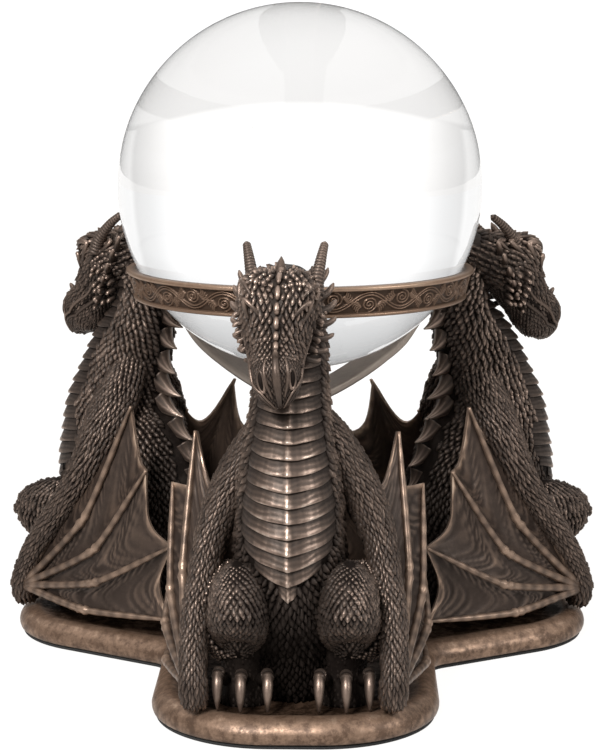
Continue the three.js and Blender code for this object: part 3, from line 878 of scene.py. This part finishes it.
def leg():
    shape = Shape()
    thigh = Limb(THIGH)
    thigh.skin(shape, 30, 32, out=-0.6)
    u, theta = lattice(thigh, 0.03, 0.97, 2.0, 1.5, meridian=0.0)
    scales(shape, on_limb(thigh, u, theta, 1), 3.2, 1.9, 0.7, seed=20)
    knee = Limb(KNEE, squareness=0.92)
    knee.skin(shape, 70, 64, out=-0.4, noise=0.1)
    u, theta = lattice(knee, 0.006, 0.99, 1.8, 1.4, lambda u, t: (np.sin(t) < 0.8) | (u > 0.7))
    point, normal, heading = on_limb(knee, u, theta, -1, 0.1)
    size = np.clip(knee.table(knee.size, u)[:, 0] / 6, 0.7, 1)
    x, z = point[:, 0], point[:, 2]
    # Painted shade: the knee scales are toned darker on the inner side, towards the belly, and low down near
    # the foot.
    tone = np.interp(x - 0.4 * z, [-9, 0], [0.5, 1.1]) * np.interp(z, [19, 30], [0.4, 1.0])
    scales(shape, (point, normal, heading), 2.4 * size, 1.75 * size, 0.66 * size, 21, 0.3, 0.55, 0.92 * tone)
    return shape


def foot():
    shape = Shape()
    shin = Limb(SHIN)
    shin.skin(shape, 30, 40)
    u, theta = lattice(shin, 0.03, 0.97, 1.9, 1.5)
    # Painted shade: the shin scales are toned right down, for the shade between the legs.
    scales(shape, on_limb(shin, u, theta, 1, 0.3), 2.6, 1.5, 0.45, seed=22, tone=0.2)
    for i, (x, y) in enumerate(TOE_TIPS):
        root_x = 14 + (i - 1) * 4.5
        toe = Limb([
            (root_x, -76, 14, 2.4, 2.6),
            ((root_x + x) / 2, (-76 + y) / 2 - 1, 16.2, 1.7, 1.8),
            (x * 0.9 + root_x * 0.1, y + 4.6, 17.8, 1.6, 1.7),
            (x, y + 2.0, 17.0, 1.5, 1.6),
        ])
        u = np.linspace(0, 1, 60)
        ripple = np.where(u > 0.70, 0.42 * np.abs(np.sin((u - 0.70) / 0.30 * 2 * math.pi)), 0.0)
        toe.sleeve(shape, u, 24, ripple - 0.2, 1.3 * ripple)
        claw = Limb([
            (x, y + 3.2, 18.2, 1.3, 1.4),
            (x, y + 1.2, 15.8, 1.5, 1.6),
            (x, y + 0.2, 12.4, 1.15, 1.25),
            (x, y + 0.5, 8.6, 0.35, 0.4),
        ])
        U, T = around_and_along(np.linspace(0, 1, 26), 24)
        points = claw.at(U, T)
        # Painted highlight: each claw is painted lighter on its front face.
        front_highlight = np.clip(-(points - claw.table(claw.centre, U))[..., 1], 0, 2) / 2
        shape.grid(points, 0.35 + 0.6 * front_highlight, closed=True, caps=True)
    return shape


# ---- arms and wings -------------------------------------------------------------------------


def arm():
    shape = Shape()
    limb = Limb(ARM)
    limb.skin(shape, 110, 32, out=-0.35, noise=0.1)
    u, theta = lattice(limb, 0.01, 0.985, 1.5, 1.35, meridian=UP)
    scales(shape, on_limb(limb, u, theta, 1, 0.1), 3.2, 1.5, 0.8, seed=30, jitter=0.22, tone=0.9)
    return shape


def rib_curve(index, reach):
    """A finger's line: nearly straight either side of the knuckle, which bends it."""
    t = np.asarray(reach) * 2
    wrist, knuckle, tip = (np.array(p, float) for p in RIBS[index])
    near, far = np.minimum(t, 1)[..., None], np.maximum(t - 1, 0)[..., None]
    bent = wrist + (knuckle - wrist) * near + (tip - knuckle) * far
    return 0.5 * bent + 0.5 * spline(RIBS[index], t)


def wing():
    shape = Shape()
    panels = len(RIBS) - 1
    per_panel, outward_steps = 12, 104
    share = np.linspace(0, 1, per_panel + 1)
    across = np.append(np.concatenate([p + share[:-1] for p in range(panels)]), panels)
    panel = np.minimum(np.floor(across + 1e-9).astype(int), panels - 1)
    share = across - panel
    outward = np.linspace(0.05, 1, outward_steps + 1)
    reach = outward[:, None] * (1 - np.array(SCALLOPS)[panel] * np.sin(math.pi * share))[None]
    left = np.stack([rib_curve(p, reach[:, j]) for j, p in enumerate(panel)], 1)
    right = np.stack([rib_curve(p + 1, reach[:, j]) for j, p in enumerate(panel)], 1)
    middle = left + (right - left) * share[None, :, None]
    normal = unit(np.cross(np.gradient(middle, axis=1), np.gradient(middle, axis=0)))
    normal = normal * np.sign(normal[..., :1].mean())
    belly = np.sin(math.pi * share)[None] * outward[:, None]
    # Creases that cross each panel from finger to finger and bow outwards, with a finer grain between them.
    bowed = outward[:, None] + (0.14 * np.sin(math.pi * share) + 0.10 * share)[None]
    drift = 0.30 * np.sin(bowed * 23 + 2.1 * panel) + 0.15 * np.sin(bowed * 41 + 5 * share)
    pleat = np.sin(2 * math.pi * (bowed * 7 + drift))
    ripple = bowed * 18 + 1.5 * drift + 0.2 * np.sin(share * 9 + 2 * panel)
    fine = np.clip(np.sin(2 * math.pi * ripple), -0.4, 1)
    depth = 0.55 + 0.45 * np.sin(bowed * 9 + share * 4 + 2.3 * panel)
    height = (0.10 * pleat + 0.20 * depth * fine) * np.minimum(outward * 3, 1)[:, None]
    edge = np.clip(outward - 0.955, 0, 1)[:, None] / 0.045
    height = height + 0.35 * edge
    relief = 0.17 + 0.10 * outward[:, None] + 0.06 * pleat + 0.30 * depth * fine + 0.5 * edge
    sag = np.array(BILLOWS)[panel][None] * belly
    outer = middle + normal * (0.35 + height - sag)[..., None]
    inner = middle + normal * (-0.45 + 0.8 * height - sag)[..., None]
    shape.grid(outer, np.clip(relief, 0, 1), flip=True)
    # Painted light: the inner face is a shade lighter than the outer one, to lift it out of its shadow.
    shape.grid(inner, np.clip(relief + 0.1, 0, 1))
    edges = [(outer[-1], inner[-1], False), (outer[0], inner[0], True),
             (outer[:, 0], inner[:, 0], True), (outer[:, -1], inner[:, -1], False)]
    for first, second, turned in edges:
        shape.grid(np.stack([first, second]), 0.6, flip=turned)
    # Finger bones with a double-ringed knuckle, tapering towards the tip.
    for index in range(len(RIBS)):
        t = np.linspace(0.03, 1.0, 90)
        path = rib_curve(index, t)
        size = np.interp(t, [0, 0.2, 0.46, 0.54, 0.8, 1.0], [1.5, 1.2, 1.15, 1.05, 0.95, 0.45])
        for joint in (0.47, 0.515):
            size = size + 0.42 * bell(t, joint, 0.012)
        size = size * (1 + 0.04 * np.sin(t * 70 + index))
        relief = 0.55 + 0.14 * bell(t, 0.49, 0.06) + 0.10 * t + 0.07 * np.sin(t * 90)
        bone = path + np.array([0.85, 0, 0])
        tube(shape, bone, size, np.clip(relief, 0, 1), 14, up=(1, 0.2, 0.1))
    return shape


# ---- base, ring, cradle and ball ------------------------------------------------------------


ARC_POINTS, FILLET_POINTS = 34, 12
FRONT_POINTS, SIDE_POINTS = 8, 14


def lobed_outline(inset):
    """Closed outline of the three-lobed base, inset from its edge, in millimetres."""
    corner = LOBE_CORNER_RADIUS - inset
    half, reach = LOBE_HALF_WIDTH - inset, LOBE_REACH - inset
    fillet = LOBE_FILLET_RADIUS + inset
    corner_x, corner_y = half - corner, corner - reach
    valley = (half + fillet) / math.cos(math.pi / 6)

    def arc(x, y, radius, start, stop, count):
        angle = np.linspace(start, stop, count)
        return np.stack([x + radius * np.cos(angle), y + radius * np.sin(angle)], 1)

    def line(a, b, count):
        t = (np.arange(count) + 0.5) / count
        return np.outer(1 - t, a) + np.outer(t, b)

    valley_x, valley_y = valley * math.cos(-math.pi / 6), valley * math.sin(-math.pi / 6)
    first = arc(-corner_x, corner_y, corner, math.pi, 1.5 * math.pi, ARC_POINTS)
    second = arc(corner_x, corner_y, corner, 1.5 * math.pi, 2 * math.pi, ARC_POINTS)
    third = arc(valley_x, valley_y, fillet, math.pi, 2 * math.pi / 3, FILLET_POINTS)
    front = line(first[-1], second[0], FRONT_POINTS)
    lobe = np.vstack([first, front, second, line(second[-1], third[0], SIDE_POINTS), third])
    lobes = [lobe @ turned_by(2 * math.pi * k / 3)[:2, :2] for k in range(3)]
    outline = []
    for k in range(3):
        outline += [lobes[k], line(lobes[k][-1], lobes[(k + 1) % 3][0], SIDE_POINTS)]
    return np.vstack(outline)


def at_height(outline, z):
    return np.column_stack([outline, np.full(len(outline), z)])


# Inset and height of each row of the base plate, from under its rim over the fat edge to its flat top
PLATE_FLAT = 7.4
PLATE_PROFILE = [
    (3.0, 1.2), (0.9, 1.25), (0.35, 1.7), (0.05, 2.6), (0.0, 3.6), (0.25, 4.7), (0.8, 5.7), (1.6, 6.6),
    (2.6, 7.4), (3.8, 7.95), (5.0, 8.15), (6.2, 8.05), (7.2, 7.75), (8.2, 7.45),
] + [(inset, PLATE_FLAT) for inset in (10, 13, 17, 21, 25, 29, 32)]
FELT_PROFILE = [(1.7, 0.0), (1.2, 0.12), (1.2, 0.9), (1.6, 1.0), (8, 1.0), (20, 1.0), (31, 1.0)]


def base_plate():
    shape = Shape()
    rows = [at_height(lobed_outline(inset), z) for inset, z in PLATE_PROFILE]
    innermost = rows[-1][:, :2]
    rows += [at_height(innermost * share, PLATE_FLAT) for share in (0.75, 0.5, 0.25)]
    points = np.stack(rows)
    worn = wave_noise(points, 9, 40) * 0.6 + wave_noise(points, 3.2, 41) * 0.4
    inside = np.array([inset for inset, _ in PLATE_PROFILE] + [40, 50, 60])
    points[..., 2] += np.where(inside > 1, 0.10, 0.0)[:, None] * worn
    tone = np.interp(inside, [0, 2.5, 6, 7.5, 9, 60], [0.62, 0.72, 0.62, 0.3, 0.14, 0.1])
    relief = tone[:, None] + 0.12 * worn
    relief[:2] = 0.3
    shape.grid(points, np.clip(relief, 0, 1), closed=True, caps=True)
    return shape


def felt_sheet():
    shape = Shape()
    points = np.stack([at_height(lobed_outline(inset), z) for inset, z in FELT_PROFILE])
    fuzz = wave_noise(points, 2.0, 50) * 0.04
    points[2:4, :, 2] += fuzz[2:4]
    shape.grid(points, 0.3, closed=True, caps=True)
    return shape


def scroll_tile(s, z, period, depth):
    """Height from 0 to 1 of the vine, spiral and leaf relief over one period of the ring's face."""
    lines = []

    def vine(t, shift):
        wave = 0.37 * depth * np.sin(2 * math.pi * t)
        slope = 0.37 * depth * 2 * math.pi / period * np.cos(2 * math.pi * t)
        size = np.hypot(1, slope)
        return np.column_stack([t * period - shift * slope / size, wave + shift / size])

    t = np.linspace(-0.2, 1.2, 300)
    for shift in (-0.38, 0.38):
        lines.append(vine(t, shift))
    for middle, sense in ((0.25, -1), (0.75, 1)):
        centre = np.array([middle * period, sense * depth * 0.13])
        angle = np.linspace(0, 2.3 * 2 * math.pi, 260)
        radius = depth * 0.34 * (1 - angle / angle[-1] * 0.9)
        turned = -sense * angle + sense * math.pi / 2
        lines.append(centre + np.column_stack([np.cos(turned) * 1.15, np.sin(turned)]) * radius[:, None])
        # Leaf strokes fan out on both sides of the spiral.
        for side in (-1, 1):
            for k in range(5):
                q = np.linspace(0, 1, 40)
                start = centre + [side * period * (0.115 + 0.012 * k), sense * depth * (0.10 - 0.05 * k)]
                reach = np.array([side * period * (0.05 + 0.014 * k), sense * depth * (0.30 - 0.055 * k)])
                bow = np.array([side * 0.35, -sense * 0.35])
                lines.append(start + np.outer(q, reach) + np.outer(q * (1 - q) * 4, bow))
    curve = np.vstack([line + [step, 0] for line in lines for step in (-period, 0, period)])
    curve = curve[(curve[:, 0] > -1) & (curve[:, 0] < period + 1)]
    nearest = np.full(s.shape, 9.0)
    for start in range(0, len(curve), 200):
        part = curve[start:start + 200]
        gap = np.hypot(s[..., None] - part[:, 0], z[..., None] - part[:, 1]).min(-1)
        nearest = np.minimum(nearest, gap)
    return np.clip(1.3 - nearest / 0.24, 0, 1)


def ring():
    shape = Shape()
    low, high = RING_BOTTOM, RING_TOP

    def outer(z):
        return np.interp(z, [low, high], [50.4, 52.7])

    def seat(z):
        return np.sqrt(BALL_RADIUS**2 - (BALL_CENTRE_Z - z) ** 2) + 0.6

    tiles, per_tile, rows = 15, 84, 34
    period = 2 * math.pi * 51.5 / tiles
    z = np.linspace(low + 1.35, high - 1.45, rows)
    s = np.arange(per_tile) / per_tile * period
    S, Z = np.meshgrid(s, z - (z[0] + z[-1]) / 2)
    vines = np.tile(scroll_tile(S, Z, period, z[-1] - z[0]), (1, tiles))
    columns = tiles * per_tile
    phi = np.arange(columns) / columns * 2 * math.pi

    def row(radius, level):
        return np.column_stack([radius * np.cos(phi), radius * np.sin(phi), np.full(columns, level)])

    points, relief = [], []

    def add_row(radius, level, tone):
        points.append(row(radius, level))
        relief.append(np.broadcast_to(tone, columns))

    def add_lip(middle, half, base, tone):
        for angle in np.linspace(-math.pi / 2, math.pi / 2, 7):
            add_row(base + 0.75 * np.cos(angle), middle + half * np.sin(angle), tone)

    for level in np.linspace(high, low, 8):
        add_row(seat(level), level, 0.3)
    add_lip(low + 0.62, 0.62, outer(low) - 0.55, 0.72)
    for vine_row, level in zip(vines, z):
        add_row(outer(level) - 1.0 + 0.62 * vine_row, level, 0.18 + 0.50 * vine_row)
    add_lip(high - 0.72, 0.72, outer(high) - 0.75, 0.85)
    points.append(points[0])
    relief.append(relief[0])
    shape.grid(np.stack(points), np.clip(np.stack(relief), 0, 1), closed=True)
    return shape


STRAP = [(-3, 78.1), (6, 79.5), (19, 84.8), (32, 92.3), (39, 99.5), (46, 110.9)]


def cradle():
    shape = Shape()
    path = spline(STRAP, np.linspace(0, len(STRAP) - 1, 90))
    along = unit(np.gradient(path, axis=0))
    over = np.column_stack([-along[:, 1], along[:, 0]])
    half, thick, round_off = STRAP_WIDTH / 2, STRAP_THICKNESS, 0.8
    right, top = half - round_off, thick - round_off
    corners = [(right, round_off, -90), (right, top, 0), (-right, top, 90), (-right, round_off, 180)]
    section = []
    for x, y, start in corners:
        for angle in np.radians(np.linspace(start, start + 90, 6)):
            section.append((x + round_off * math.cos(angle), y + round_off * math.sin(angle)))
    across, lift = np.array(section).T
    centre = path[:, None, :] + over[:, None, :] * lift[None, :, None]
    strap = np.stack([np.broadcast_to(across, centre.shape[:2]), -centre[..., 0], centre[..., 1]], -1)
    strap = strap + wave_noise(strap, 11, 60)[..., None] * 0.05
    tone = np.broadcast_to(0.55 + 0.25 * np.clip(np.abs(across) / half - 0.86, 0, 1) / 0.14, strap.shape[:2])
    for turn in TURNS.values():
        shape.grid(strap @ turned_by(turn), tone, closed=True, caps=True, flip=True)
    return shape


def ball_piece():
    shape = Shape()
    rows, columns = 96, 144
    phi = np.arange(columns) / columns * 2 * math.pi
    latitude = np.linspace(-math.pi / 2 + 0.02, math.pi / 2 - 0.02, rows)
    L, P = np.meshgrid(latitude, phi, indexing="ij")
    points = np.stack([np.cos(L) * np.cos(P), np.cos(L) * np.sin(P), np.sin(L)], -1) * BALL_RADIUS
    points[..., 2] += BALL_CENTRE_Z
    shape.grid(points, 0.5, closed=True, caps=True)
    shape.points[-1][-2] = (0, 0, BALL_CENTRE_Z - BALL_RADIUS)
    shape.points[-1][-1] = (0, 0, BALL_CENTRE_Z + BALL_RADIUS)
    return shape


def place(piece, body_name, slot_name, node):
    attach(piece, body_name)
    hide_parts(node)


parts = {"body": (body(), scale_bronze), "head": (head(), scale_bronze)}
pairs = [("leg", leg(), scale_bronze), ("foot", foot(), scale_bronze), ("arm", arm(), scale_bronze),
         ("wing", wing(), wing_bronze)]
for name, made, material in pairs:
    parts[name + "_left"] = (made, material)
    parts[name + "_right"] = (made.mirrored(), material)
for where, turn in TURNS.items():
    for name, (made, material) in parts.items():
        node = f"{where}_{name}"
        place(made.build("look_" + node, material, turn), "stand", "antique_bronze", node)

place(base_plate().build("look_base_plate", base_bronze), "stand", "worn_bronze", "base_plate")
place(felt_sheet().build("look_felt_sheet", felt_material()), "stand", "felt", "felt_sheet")
place(ring().build("look_ring", ring_bronze), "stand", "antique_bronze", "ring")
place(cradle().build("look_cradle", strap_bronze), "stand", "antique_bronze", "cradle")
place(ball_piece().build("look_crystal_ball", glass_material()), "ball", "clear_glass", "crystal_ball")

# ---- studio ---------------------------------------------------------------------------------


# How bright the walls look by how far to the side they are: white ahead, a greyer seam off to each side.
WALL_SHADES = [
    (0.0, 1.0), (0.46, 1.0), (0.62, 0.80), (0.755, 0.68),
    (0.775, 0.74), (0.81, 0.88), (0.92, 0.86), (1.0, 0.60),
]


def floor():
    """A self-lit sheet: white to the camera, and a shade deeper near the object through the glass."""
    shape = Shape()
    x, y = np.meshgrid(np.linspace(-4000, 4000, 21), np.linspace(-4000, 4000, 21))
    shape.grid(np.stack([x, y, np.full_like(x, -0.05)], -1), 0.5)
    nodes = material_nodes("floor")
    place_on_floor = nodes.node("ShaderNodeTexCoord").outputs["Object"]
    away = nodes.node("ShaderNodeVectorMath", place_on_floor, operation="LENGTH").outputs["Value"]
    sideways = nodes.node("ShaderNodeSeparateXYZ", place_on_floor).outputs["X"]
    far = nodes.spread(away, 0.33, 0.45, 0.0, 1.0)
    bearing = nodes.math("ABSOLUTE", nodes.math("DIVIDE", sideways, away))
    bearing = nodes.math("MULTIPLY", bearing, far)
    camera_ray = nodes.node("ShaderNodeLightPath").outputs["Is Camera Ray"]
    bearing = nodes.math("MULTIPLY", bearing, nodes.math("SUBTRACT", 1.0, camera_ray))
    wall = nodes.ramp(bearing, [(at, (grey, grey * 0.985, grey * 0.97)) for at, grey in WALL_SHADES])
    nodes.set("Base Color", nodes.grey_ramp(nodes.noise(3, 2), [(0.3, 0.055), (0.7, 0.07)]))
    nodes.set("Roughness", 0.9)
    nodes.set("Specular IOR Level", 0.1)
    nodes.set("Emission Color", wall)
    near = nodes.spread(camera_ray, 0.0, 1.0, 0.84, 0.97)
    nodes.set("Emission Strength", nodes.math("MAXIMUM", near, nodes.math("MULTIPLY", far, 1.02)))
    shape.build("floor", nodes.owner)


floor()


def area(name, place_at, size, power):
    """A soft rectangular light, aimed at the dragons. The glass doesn't show it by transmission."""
    data = bpy.data.lights.new(name, "AREA")
    data.shape = "RECTANGLE"
    data.size, data.size_y = size
    data.energy = power
    light = bpy.data.objects.new(name, data)
    bpy.context.collection.objects.link(light)
    light.location = place_at
    light.rotation_mode = "QUATERNION"
    light.rotation_quaternion = (Vector((0, 0, 0.08)) - Vector(place_at)).to_track_quat("-Z", "Y")
    light.visible_transmission = False


area("key", (-0.40, -0.95, 0.85), (0.34, 0.34), 24)
area("fill", (0.95, -0.45, 0.55), (0.30, 0.50), 5)


def studio_world():
    """Even white for the camera, shaded walls through the glass, a bright ceiling over dim walls as light."""
    world = bpy.data.worlds.new("studio")
    bpy.context.scene.world = world
    nodes = Nodes(world, "Background")
    path = nodes.node("ShaderNodeLightPath").outputs
    beyond_glass = nodes.math("SUBTRACT", 1.0, path["Is Camera Ray"])
    generated = nodes.node("ShaderNodeTexCoord").outputs["Generated"]
    direction = nodes.node("ShaderNodeVectorMath", generated, operation="SCALE")
    nodes.feed(direction.inputs["Scale"], beyond_glass)
    split = nodes.node("ShaderNodeSeparateXYZ", direction.outputs["Vector"]).outputs
    light_ramp = nodes.grey_ramp(split["Z"], [(0.0, 0.08), (0.45, 0.30), (1.0, 1.0)])
    lit = nodes.node("ShaderNodeBackground", light_ramp, Strength=1.5)
    # White ahead, a shade greyer to the sides and overhead, with a seam where the walls meet.
    walls = nodes.grey_ramp(nodes.math("ABSOLUTE", split["X"]), WALL_SHADES)
    ceiling = nodes.grey_ramp(split["Z"], [(0.0, 1.0), (0.25, 1.0), (0.55, 0.72), (1.0, 0.45)])
    both = nodes.node("ShaderNodeMix", 1.0, data_type="RGBA", blend_type="MULTIPLY")
    colours = [socket for socket in both.inputs if socket.type == "RGBA"]
    nodes.feed(colours[0], walls)
    nodes.feed(colours[1], ceiling)
    nodes.set("Color", next(socket for socket in both.outputs if socket.type == "RGBA"))
    nodes.set("Strength", 1.12)
    either = nodes.math("MAXIMUM", path["Is Camera Ray"], path["Is Transmission Ray"])
    seen = nodes.shader.outputs["Background"]
    mixed = nodes.node("ShaderNodeMixShader", either, lit.outputs["Background"], seen)
    nodes.feed(nodes.tree.nodes["World Output"].inputs["Surface"], mixed.outputs["Shader"])


studio_world()

camera_data = bpy.data.cameras.new("camera")
camera_data.sensor_width = 36
camera_data.lens = 103.4
camera = bpy.data.objects.new("camera", camera_data)
bpy.context.collection.objects.link(camera)
target = Vector((0, 0, 0.08596))
azimuth, elevation, distance = math.radians(1.17), math.radians(9.635), 0.66514
camera.location = target + distance * Vector((
    math.sin(azimuth) * math.cos(elevation), -math.cos(azimuth) * math.cos(elevation), math.sin(elevation)))
camera.rotation_mode = "QUATERNION"
camera.rotation_quaternion = (target - camera.location).to_track_quat("-Z", "Y")
bpy.context.scene.camera = camera
bpy.context.scene.view_settings.view_transform = "Standard"
